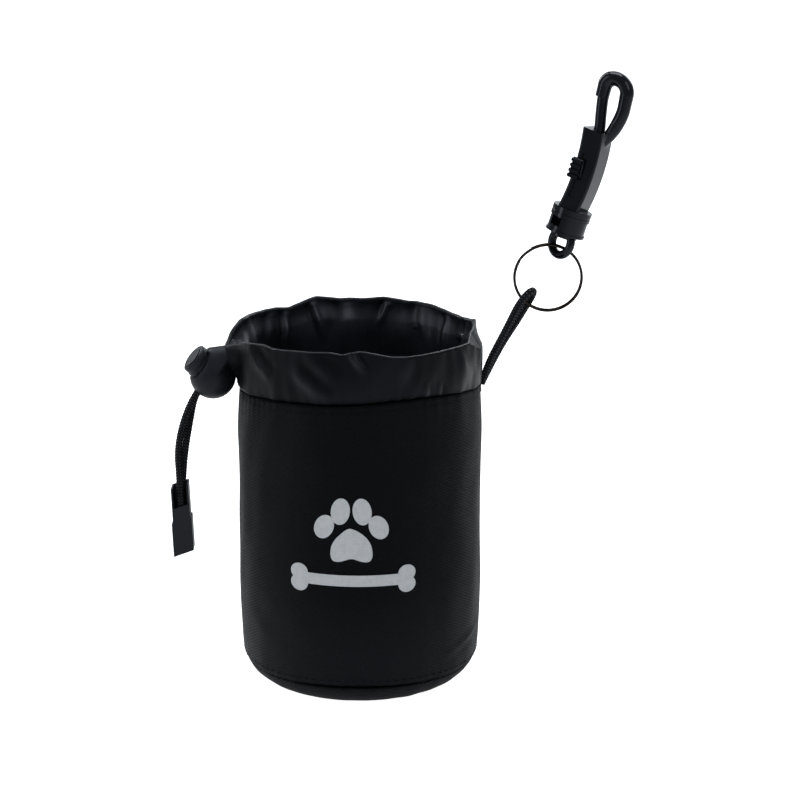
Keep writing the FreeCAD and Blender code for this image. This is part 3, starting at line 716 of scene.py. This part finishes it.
def finished_copy(node, name, bevel, segments=3, flat=30):
    """A CAD part's shape with its edges moulded round."""
    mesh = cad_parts[node].data.copy()
    edit = bmesh.new()
    edit.from_mesh(mesh)
    bmesh.ops.remove_doubles(edit, verts=edit.verts, dist=0.004 * MM)
    bmesh.ops.dissolve_limit(edit, angle_limit=math.radians(0.6), verts=edit.verts, edges=edit.edges)
    clean = bpy.data.meshes.new(name)
    edit.to_mesh(clean)
    edit.free()
    bpy.data.meshes.remove(mesh)
    made = add_object(name, clean)
    clean.polygons.foreach_set("use_smooth", [True] * len(clean.polygons))
    if bevel:
        rounding = made.modifiers.new("rounding", "BEVEL")
        rounding.width = bevel
        rounding.segments = segments
        rounding.limit_method = "ANGLE"
        rounding.angle_limit = math.radians(flat)
        rounding.use_clamp_overlap = True
        rounding.harden_normals = True
    clean.set_sharp_from_angle(angle=math.radians(flat + 5))
    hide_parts(node)
    return made


def split_ring():
    """One rounded wire of nearly two turns, with a short step between its coils."""
    full = 360 - RING_RAMP_ANGLE
    degrees = np.arange(0, full + 360 + 1, 2.0)
    offset = RING_COIL_OFFSET * (2 * smooth_step((degrees - full) / RING_RAMP_ANGLE) - 1)
    angle = np.radians(degrees + RING_END_ANGLE)
    sides = 20
    section = np.arange(sides) * 2 * math.pi / sides
    flat = 0.75
    wide = np.sign(np.cos(section)) * np.abs(np.cos(section)) ** flat * RING_WIRE_R
    deep = np.sign(np.sin(section)) * np.abs(np.sin(section)) ** flat * RING_WIRE_R
    reach = RING_R + wide[None, :]
    points = np.stack([
        reach * np.cos(angle)[:, None] + RING_CENTRE.x,
        offset[:, None] + deep[None, :] + 0 * reach,
        reach * np.sin(angle)[:, None] + RING_CENTRE.z,
    ], axis=-1)
    made = mesh_object("key_ring", points.reshape(-1, 3), tube_faces(len(angle), sides))
    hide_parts("split_ring")
    return made


def shape_lock(made, button):
    """The ball has a shoulder under the casing's spout, and the button's head sits a little proud."""
    mesh = made.data
    if button:
        edit = bmesh.new()
        edit.from_mesh(mesh)
        for level in BUTTON_BANDS:
            cut_across(edit, LOCK_CENTRE + BUTTON_AXIS * level * MM, BUTTON_AXIS)
        edit.to_mesh(mesh)
        edit.free()
    points = np.array([vertex.co for vertex in mesh.vertices])
    if button:
        reach = points - np.array(LOCK_CENTRE)
        head = (reach @ np.array(BUTTON_AXIS) > (BUTTON_BANDS[1] - 0.1) * MM)[:, None]
        points = points + head * (reach * (BUTTON_SIZE - 1) + np.array(BUTTON_PROUD) * MM)
    else:
        reach = (points - np.array(LOCK_CENTRE)) * BALL_R / LOCK_R
        distance = np.linalg.norm(reach, axis=1, keepdims=True)
        bearing = np.degrees(np.arctan2(reach[:, 2], reach[:, 0]))
        aim = np.radians(np.clip(bearing, 35, 125))
        level = SHOULDER_TOP / (np.sin(aim) - SHOULDER_SLOPE * np.cos(aim))
        part = smooth_step((bearing - 38) / 14) * smooth_step((124 - bearing) / 26)
        near_surface = smooth_step((distance[:, 0] / BALL_R - 0.8) / 0.15)
        part = part * hump(reach[:, 1], 4.6 * MM) * near_surface
        rise = (level - BALL_R) * part
        points = np.array(BALL_CENTRE) + reach + reach / distance * rise[:, None]
    mesh.vertices.foreach_set("co", points.astype(np.float32).ravel())
    mesh.update()


def hook_axes():
    """The hook's own V, W and U directions, one in each row."""
    across = (HOOK_V_HINT - HOOK_U * HOOK_V_HINT.dot(HOOK_U)).normalized()
    return np.array([across, HOOK_U.cross(across), HOOK_U])


def housing_bend(u):
    """The housing bows gently out to its spine side, in millimetres toward the bolt side."""
    return -1.0 + 0.029 * (u - 28) + 0.0061 * (u - 28) ** 2


def crook_bend(u, v):
    """The crook and the bolt's rod lean back over the housing, and the spine's root draws in to it."""
    rise = np.clip(u - 44, 0, None)
    root = 0.95 * smooth_step((v - 2) / 4) * hump(rise, 9)
    return -0.35 + 0.30 * (u - 44) - 0.0048 * (u - 44) ** 2 + root


def slot_floor(edit):
    """The bolt's flat seen in the bottom of its slot."""
    first = None
    for u in np.linspace(*SLOT, 9):
        pair = [edit.verts.new(hook_point(BOLT_V + side, HOUSING_FACE + SLOT_FLOOR, u))
                for side in (-SLOT_HALF_WIDTH, SLOT_HALF_WIDTH)]
        if first:
            edit.faces.new((first[0], first[1], pair[1], pair[0]))
        first = pair


def hook_point(v, w, u):
    return HOOK_ORIGIN + Vector((np.array([v, w, u]) @ hook_axes()).tolist()) * MM


def shape_hook(made, bolt):
    """Bends the straight moulding, and makes its crook fullest over the top."""
    mesh = made.data
    edit = bmesh.new()
    edit.from_mesh(mesh)
    if not bolt:
        slot_floor(edit)
    for level in range(14, 60, 3):
        cut_across(edit, hook_point(0, 0, level), HOOK_U)
    edit.normal_update()
    points = np.array([vertex.co for vertex in edit.verts])
    outward = np.array([vertex.normal for vertex in edit.verts])
    axes = hook_axes()
    v, w, u = ((points - np.array(HOOK_ORIGIN)) @ axes.T / MM).T
    if bolt:
        free = smooth_step((u - 36) / 8)
        tab = smooth_step((HOUSING_FACE - w) / 0.1)
        points = points - axes[2] * (TAB_DROP * tab)[:, None] - axes[0] * (TAB_SHIFT * tab)[:, None]
        points = points + axes[2] * (0.6 * MM * (u > 55))[:, None]
    else:
        in_crook = (np.abs(w) < 2.8) * smooth_step((u - 39.5) / 3)
        free = np.maximum(in_crook, smooth_step((u - HOUSING_TOP - 0.3) / 0.5))
        crook = smooth_step((u - 44.5) / 2)
        top = hump(u - 64, 6)
        points = points + outward * (crook * (0.42 * top - 0.08) * MM)[:, None]
        tip = (u > 55) * (u < 57.2) * (v < 2.5)
        points = points - axes[2] * (1.9 * MM * tip)[:, None]
    bend = np.where(u > 10, housing_bend(np.clip(u, 12.6, 43)), 0) * smooth_step((u - 12.6) / 0.5)
    bend = bend * (1 - free) + crook_bend(u, v) * free
    lower = 0.045 * MM * np.clip(u - 50, 0, None)
    points = points - axes[0] * (bend * MM)[:, None] - axes[2] * lower[:, None]
    for vertex, place in zip(edit.verts, points):
        vertex.co = place
    edit.to_mesh(mesh)
    edit.free()


# Materials

def link_or_set(tree, socket, value):
    if isinstance(value, bpy.types.NodeSocket):
        tree.links.new(value, socket)
    else:
        socket.default_value = value


def add_node(tree, kind, inputs):
    """A shader node with the given inputs set or linked."""
    node = tree.nodes.new("ShaderNode" + kind)
    for socket, value in inputs.items():
        link_or_set(tree, node.inputs[socket], value)
    return node


def maths(tree, operation, *values):
    node = add_node(tree, "Math", dict(enumerate(values)))
    node.operation = operation
    return node.outputs[0]


def object_place(tree):
    return tree.nodes.new("ShaderNodeTexCoord").outputs["Object"]


def split_axes(tree, vector):
    return add_node(tree, "SeparateXYZ", {0: vector}).outputs


def noise_field(tree, vector, scale, detail=3.0, roughness=0.55):
    inputs = {"Vector": vector, "Scale": scale, "Detail": detail, "Roughness": roughness}
    return add_node(tree, "TexNoise", inputs).outputs["Fac"]


def ramp(tree, factor, stops):
    node = add_node(tree, "ValToRGB", {"Fac": factor})
    while len(node.color_ramp.elements) < len(stops):
        node.color_ramp.elements.new(0.5)
    for element, (place, colour) in zip(node.color_ramp.elements, stops):
        element.position = place
        element.color = (*colour, 1)
    return node.outputs["Color"]


def span(tree, factor, low, high):
    """A 0 to 1 field turned into a range of values."""
    return add_node(tree, "MapRange", {"Value": factor, "To Min": low, "To Max": high}).outputs["Result"]


def bump(tree, height, distance, strength=1.0, below=None):
    inputs = {"Height": height, "Distance": distance, "Strength": strength}
    if below is not None:
        inputs["Normal"] = below
    return add_node(tree, "Bump", inputs).outputs["Normal"]


def new_material(name, colour, roughness, specular=0.5, metallic=0.0, sheen=0.0):
    material = bpy.data.materials.new(name)
    material.use_nodes = True
    shader = material.node_tree.nodes["Principled BSDF"]
    for socket, value in (
        ("Base Color", (*colour, 1)),
        ("Roughness", roughness),
        ("Specular IOR Level", specular),
        ("Metallic", metallic),
        ("Sheen Weight", sheen),
        ("Sheen Roughness", 0.45),
    ):
        shader.inputs[socket].default_value = value
    if max(colour) < 0.1 and not metallic:
        shader.inputs["Specular Tint"].default_value = (*COOL, 1)
    return material, material.node_tree, shader


def plug(tree, shader, socket, field):
    tree.links.new(field, shader.inputs[socket])


def crown(tree, counted):
    """The round back of a thread, 0 at its edges and 1 along its middle."""
    return maths(tree, "SINE", maths(tree, "MULTIPLY", maths(tree, "FRACT", counted), math.pi))


def paint_light_and_shade_on_cloth(tree, shader, colour, specular):
    """Colour and sheen, scaled by the painted light and shade on the mesh: less down in the seams, where
    shade is painted.
    """
    attribute = tree.nodes.new("ShaderNodeAttribute")
    attribute.attribute_name = "shade"
    shade = attribute.outputs["Fac"]
    scaled = tree.nodes.new("ShaderNodeVectorMath")
    scaled.operation = "SCALE"
    tree.links.new(colour, scaled.inputs[0])
    tree.links.new(shade, scaled.inputs["Scale"])
    plug(tree, shader, "Base Color", scaled.outputs["Vector"])
    plug(tree, shader, "Specular IOR Level", maths(tree, "MULTIPLY", shade, specular))


def twill(tree, across, up, thread):
    """Height of threads that pass over and under two by two, one step on in each row."""
    column = maths(tree, "DIVIDE", across, thread)
    row = maths(tree, "DIVIDE", up, thread)
    double_row = maths(tree, "MULTIPLY", maths(tree, "FLOOR", row), 2.0)
    stepped = maths(tree, "SUBTRACT", maths(tree, "FLOOR", column), double_row)
    place = maths(tree, "FLOORED_MODULO", stepped, 4.0)
    warp_up = maths(tree, "LESS_THAN", place, 1.5)
    weft_up = maths(tree, "SUBTRACT", 1.0, warp_up)
    warp = maths(tree, "MULTIPLY", crown(tree, column), warp_up)
    weft = maths(tree, "MULTIPLY", crown(tree, row), weft_up)
    return maths(tree, "ADD", warp, weft)


def round_the_pouch(tree, vector):
    """Distance round the pouch and height, so that the threads run level and upright."""
    split = split_axes(tree, vector)
    turn = maths(tree, "ARCTAN2", split["Y"], split["X"])
    return maths(tree, "MULTIPLY", turn, WALL_R), split["Z"]


def woven_material(name, flat=False):
    """Coated nylon with a coarse two-by-two weave."""
    dark = (0.0003, 0.0003, 0.0004)
    light = (0.0026, 0.0026, 0.0032)
    material, tree, shader = new_material(name, light, 0.5, specular=0.09)
    vector = object_place(tree)
    across, up = split_axes(tree, vector)[:2] if flat else round_the_pouch(tree, vector)
    height = twill(tree, across, up, 2 * math.pi * WALL_R / WEAVE_TURN)
    slub = noise_field(tree, vector, 900)
    shade = maths(tree, "MULTIPLY", height, span(tree, slub, 0.6, 1.2))
    paint_light_and_shade_on_cloth(tree, shader, ramp(tree, shade, [(0.0, dark), (0.9, light)]), 0.10)
    patches = noise_field(tree, vector, 35, detail=2)
    plug(tree, shader, "Roughness", span(tree, patches, 0.44, 0.58))
    fine = bump(tree, slub, 0.03 * MM, 0.5)
    plug(tree, shader, "Normal", bump(tree, height, 0.12 * MM, 0.8, fine))
    return material


def taffeta_material(name, dark, light, roughness, specular):
    """Smooth closely woven nylon, with soft creases and a faint sheen."""
    material, tree, shader = new_material(name, light, roughness, specular=specular)
    vector = object_place(tree)
    height = twill(tree, *round_the_pouch(tree, vector), 0.2 * MM)
    cloudy = noise_field(tree, vector, 60, detail=4)
    paint_light_and_shade_on_cloth(tree, shader, ramp(tree, cloudy, [(0.3, dark), (0.7, light)]), specular)
    plug(tree, shader, "Roughness", span(tree, cloudy, roughness - 0.07, roughness + 0.07))
    creased = noise_field(tree, vector, 220, detail=3)
    soft = bump(tree, creased, 0.12 * MM, 0.35)
    plug(tree, shader, "Normal", bump(tree, height, 0.025 * MM, 0.5, soft))
    return material


def braid_material(name):
    """Black polyester strands with fibre fuzz."""
    light = (0.0190, 0.0195, 0.0225)
    material, tree, shader = new_material(name, light, 0.5, specular=0.22, sheen=0.03)
    vector = object_place(tree)
    fibre = noise_field(tree, vector, 5200, detail=2)
    tone = noise_field(tree, vector, 700, detail=2)
    paint_light_and_shade_on_cloth(tree, shader, ramp(tree, tone, [(0.3, (0.0080, 0.0082, 0.0095)), (0.7, light)]), 0.22)
    plug(tree, shader, "Roughness", span(tree, fibre, 0.45, 0.7))
    plug(tree, shader, "Normal", bump(tree, fibre, 0.05 * MM, 0.6))
    return material


def thread_material():
    material, tree, shader = new_material("sewing_thread", (0.002, 0.002, 0.0025), 0.5, specular=0.12)
    vector = object_place(tree)
    fibre = noise_field(tree, vector, 4000, detail=2)
    tone = ramp(tree, fibre, [(0.3, (0.002, 0.002, 0.0024)), (0.7, (0.005, 0.005, 0.006))])
    plug(tree, shader, "Base Color", tone)
    plug(tree, shader, "Normal", bump(tree, fibre, 0.04 * MM, 0.5))
    return material


def moulded_material(name, dark, light, roughness, specular, grain):
    """Moulded plastic: faint flow marks, fine grain and handling marks."""
    material, tree, shader = new_material(name, light, roughness, specular=specular)
    vector = object_place(tree)
    flow = noise_field(tree, vector, 90, detail=4)
    plug(tree, shader, "Base Color", ramp(tree, flow, [(0.3, dark), (0.75, light)]))
    marks = noise_field(tree, vector, 1400, detail=5, roughness=0.7)
    plug(tree, shader, "Roughness", span(tree, marks, roughness - 0.08, roughness + 0.10))
    flowing = bump(tree, flow, 0.10 * MM, 0.25)
    plug(tree, shader, "Normal", bump(tree, marks, grain, 0.5, flowing))
    return material


def metal_material(name, colour, roughness):
    """Plated steel with fine drawn scratches and a little dulling."""
    material, tree, shader = new_material(name, colour, roughness, metallic=1.0)
    vector = object_place(tree)
    dulling = noise_field(tree, vector, 300, detail=5, roughness=0.7)
    plug(tree, shader, "Roughness", span(tree, dulling, roughness - 0.05, roughness + 0.14))
    darker = tuple(channel * 0.7 for channel in colour)
    plug(tree, shader, "Base Color", ramp(tree, dulling, [(0.35, darker), (0.6, colour)]))
    shader.inputs["Specular Tint"].default_value = (*darker, 1)
    scratches = noise_field(tree, vector, 3500, detail=2)
    plug(tree, shader, "Normal", bump(tree, scratches, 0.01 * MM, 0.4))
    return material


def print_material(name):
    """Pale screen print that lies thinly over the weave."""
    light = (0.50, 0.51, 0.52)
    material, tree, shader = new_material(name, light, 0.5, specular=0.4)
    vector = object_place(tree)
    height = twill(tree, *round_the_pouch(tree, vector), 2 * math.pi * WALL_R / WEAVE_TURN)
    wear = noise_field(tree, vector, 500, detail=5, roughness=0.7)
    shade = maths(tree, "ADD", maths(tree, "MULTIPLY", height, 0.35), maths(tree, "MULTIPLY", wear, 0.65))
    tint = ramp(tree, shade, [(0.12, (0.40, 0.40, 0.41)), (0.42, light), (0.8, (0.66, 0.66, 0.67))])
    plug(tree, shader, "Base Color", tint)
    plug(tree, shader, "Normal", bump(tree, height, 0.05 * MM, 0.7))
    return material


def plain_hidden_material(name, colour, scale):
    """Board, foam and other pieces inside the pouch, with a fibrous or cellular grain."""
    material, tree, shader = new_material(name, colour, 0.8, specular=0.3)
    vector = object_place(tree)
    grain = noise_field(tree, vector, scale, detail=4)
    darker = tuple(channel * 0.6 for channel in colour)
    plug(tree, shader, "Base Color", ramp(tree, grain, [(0.3, darker), (0.7, colour)]))
    plug(tree, shader, "Normal", bump(tree, grain, 0.1 * MM, 0.6))
    return material


def dress(made, material, body=None):
    """Gives a piece its material and the body that it rides on."""
    made.data.materials.clear()
    made.data.materials.append(material)
    if body is not None:
        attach(made, body)
    return made


# Stage

def area_light(name, place, target, size, power, colour=(0.92, 0.96, 1.0)):
    data = bpy.data.lights.new(name, "AREA")
    data.shape = "RECTANGLE"
    data.size, data.size_y = size
    data.energy = power
    data.color = colour
    lamp = add_object(name, data)
    lamp.location = place
    lamp.rotation_mode = "QUATERNION"
    lamp.rotation_quaternion = (Vector(place) - Vector(target)).to_track_quat("Z", "Y")


def set_the_stage():
    scene = bpy.context.scene
    scene.view_settings.view_transform = "Standard"
    world = bpy.data.worlds.new("studio")
    world.use_nodes = True
    tree = world.node_tree
    background = tree.nodes["Background"]
    background.inputs["Color"].default_value = (0.86, 0.93, 1.0, 1)
    seen = tree.nodes.new("ShaderNodeLightPath").outputs["Is Camera Ray"]
    tree.links.new(span(tree, seen, 0.3, 1.2), background.inputs["Strength"])
    scene.world = world

    half = 6.0
    floor = mesh_object("floor", [(-half, -half, 0), (half, -half, 0), (half, half, 0), (-half, half, 0)],
                        [[0, 1, 2, 3]], smooth=False)
    floor.location.z = -0.0003
    material, tree, shader = new_material("floor_paper", (0.70, 0.70, 0.70), 0.75, specular=0.2)
    vector = object_place(tree)
    plug(tree, shader, "Normal", bump(tree, noise_field(tree, vector, 60), 0.1 * MM, 0.2))
    shader.inputs["Emission Color"].default_value = (1, 1, 1, 1)
    seen = tree.nodes.new("ShaderNodeLightPath").outputs["Is Camera Ray"]
    plug(tree, shader, "Emission Strength", span(tree, seen, 0.24, 1.0))
    floor.data.materials.append(material)

    middle = (0, 0, 0.08)
    area_light("key", (0.75, -0.85, 0.95), middle, (0.5, 0.7), 3.1)
    area_light("side", (-0.95, -0.35, 0.55), middle, (0.35, 0.8), 2.1)
    area_light("top", (0.05, 0.25, 1.1), middle, (0.7, 0.5), 6.0)
    area_light("edge", (-0.55, 0.75, 0.75), (0.04, 0, 0.14), (0.10, 0.9), 3.5)
    area_light("back", (0.45, 1.05, 0.6), middle, (0.9, 0.5), 4.0)

    data = bpy.data.cameras.new("camera")
    data.sensor_width = 36
    data.lens = 125.15
    camera = add_object("camera", data)
    camera.location = (0.0149, -0.990, 0.3777)
    camera.rotation_euler = (math.radians(90 - 15.42), 0, 0)
    scene.camera = camera


def lay_cords(braid):
    """The two tails bend from the pouch into the swinging cord end, and the loop from the pouch's side."""
    loop_line = cord_line("loop_line", HANG_LOOP)
    loop = dress(braided_cord("hang_cord", loop_line), braid)
    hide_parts("hang_loop")
    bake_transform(loop)
    for name, node, route, length in (
        ("front_tail", "tail_front", TAIL_FRONT, 0.0688),
        ("back_tail", "tail_back", TAIL_BACK, 0.0683),
    ):
        line = cord_line(name + "_line", route)
        tail = dress(braided_cord(name, line), braid)
        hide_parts(node)
        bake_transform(tail)


def main():
    set_the_stage()

    woven = woven_material("woven_nylon")
    woven_base = woven_material("woven_nylon_base", flat=True)
    taffeta = taffeta_material("casing_taffeta", (0.0014, 0.0014, 0.0018), (0.0032, 0.0033, 0.0042),
                               roughness=0.35, specular=0.14)
    lining = taffeta_material("lining_taffeta", (0.0085, 0.0100, 0.0145), (0.0170, 0.0200, 0.0280),
                              roughness=0.45, specular=0.2)
    braid = braid_material("braided_cord")
    thread = thread_material()
    ball = moulded_material("lock_plastic", (0.0070, 0.0077, 0.0096), (0.0120, 0.0131, 0.0160),
                            roughness=0.42, specular=0.20, grain=0.02 * MM)
    clip = moulded_material("clip_plastic", (0.0065, 0.0070, 0.0085), (0.0110, 0.0118, 0.0140),
                            roughness=0.45, specular=0.25, grain=0.02 * MM)
    gloss = moulded_material("hook_plastic", (0.0022, 0.0024, 0.0030), (0.0044, 0.0048, 0.0058),
                             roughness=0.15, specular=0.29, grain=0.01 * MM)
    nickel = metal_material("ring_nickel", (0.035, 0.028, 0.023), 0.2)
    steel = metal_material("spring_steel", (0.06, 0.06, 0.06), 0.3)
    film = print_material("print_film")
    foam = plain_hidden_material("foam", (0.55, 0.55, 0.52), 1500)
    board = plain_hidden_material("board", (0.28, 0.24, 0.19), 600)

    lay_cords(braid)

    wall = dress(outer_wall(), woven, "pouch")
    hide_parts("outer_wall")
    base = dress(base_panel(), woven_base, "pouch")
    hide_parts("base_panel")
    casing = dress(collar(), taffeta, "pouch")
    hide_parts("collar")
    tube = dress(lining_wall(), lining, "pouch")
    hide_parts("lining_wall")
    inner_floor = dress(lining_base(), lining, "pouch")
    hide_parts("lining_base")

    topstitch = round_stitches("topstitch", SEAM, -TOPSTITCH)
    basestitch = round_stitches("base_stitch", BASE_SEAM, BASE_STITCH)
    tack = loop_tack()
    for stitches in (topstitch, basestitch, tack):
        dress(stitches, thread, "pouch")

    for node, name, bevel, material, slot_name, body in (
        ("paw_print", "paw_film", 0, film, "print_film", "pouch"),
        ("bone_print", "bone_film", 0, film, "print_film", "pouch"),
        ("lock_body", "lock_ball", 0.35 * MM, ball, "lock_plastic", "cord_lock"),
        ("lock_plunger", "lock_button", 0.25 * MM, ball, "lock_plastic", "lock_plunger"),
        ("cord_end_base", "clip_base", 0.18 * MM, clip, "clip_plastic", "cord_tails"),
        ("cord_end_lid", "clip_lid", 0.18 * MM, clip, "clip_plastic", "cord_end_lid"),
        ("swivel_eye", "eye", 0.30 * MM, gloss, "hook_plastic", "swivel_eye"),
        ("hook_housing", "hook", 0.45 * MM, gloss, "hook_plastic", "snap_hook"),
        ("snap_bolt", "bolt", 0.25 * MM, gloss, "hook_plastic", "snap_bolt"),
    ):
        made = dress(finished_copy(node, name, bevel), material, body)
        if name in ("hook", "bolt"):
            shape_hook(made, name == "bolt")
        if name in ("lock_ball", "lock_button"):
            shape_lock(made, name == "lock_button")
    dress(split_ring(), nickel, "split_ring")
    for node, joint, body, axis, foot, keep in (
        ("lock_spring", "plunger_press", "cord_lock", BUTTON_AXIS,
         LOCK_CENTRE + BUTTON_AXIS * LOCK_SPRING_FOOT * MM, LOCK_SPRING_KEPT),
        ("bolt_spring", "bolt_slide", "snap_hook", HOOK_U,
         HOOK_ORIGIN + HOOK_U * BOLT_SPRING_FOOT * MM, BOLT_SPRING_KEPT),
    ):
        coil = dress(finished_copy(node, node + "_coil", 0), steel, body)
        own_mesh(coil)

    for node, material in (
        ("drawcord", braid),
        ("tail_knot", braid),
        ("wall_foam", foam),
        ("base_board", board),
    ):
        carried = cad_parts[node]
        carried.data.materials.clear()
        carried.data.materials.append(material)


main()
